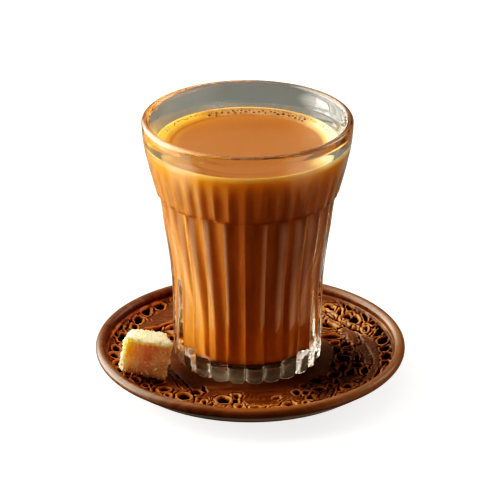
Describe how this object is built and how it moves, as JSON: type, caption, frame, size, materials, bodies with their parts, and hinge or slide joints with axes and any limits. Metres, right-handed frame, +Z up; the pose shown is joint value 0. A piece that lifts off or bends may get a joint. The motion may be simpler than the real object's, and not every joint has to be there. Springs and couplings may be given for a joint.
{
  "type": "glass of masala chai on a saucer",
  "caption": "Masala chai in a ribbed glass tumbler with a flared collar, on a round carved wooden saucer with a lump of raw sugar.",
  "frame": {"origin": "centre of the flat underside of the saucer, on the surface it stands on", "axes": "+Z up; -Y is the front, with the sugar lump at the left front; +X is to the right"},
  "size_m": [0.1112, 0.1112, 0.0984],
  "materials": {
    "carved_wood": "oiled dark brown wood, worn lighter on the raised edges, with a polished rim",
    "clear_glass": "clear, polished, slightly grey pressed glass",
    "milky_tea": "wet, opaque, milky orange-brown tea with a thin ring of froth",
    "raw_sugar": "matt, rough, pale golden pressed sugar with crystals"
  },
  "bodies": {
    "root": {"saucer": "carved_wood", "glass": "clear_glass", "chai": "milky_tea", "sugar_lump": "raw_sugar"}
  },
  "joints": []
}
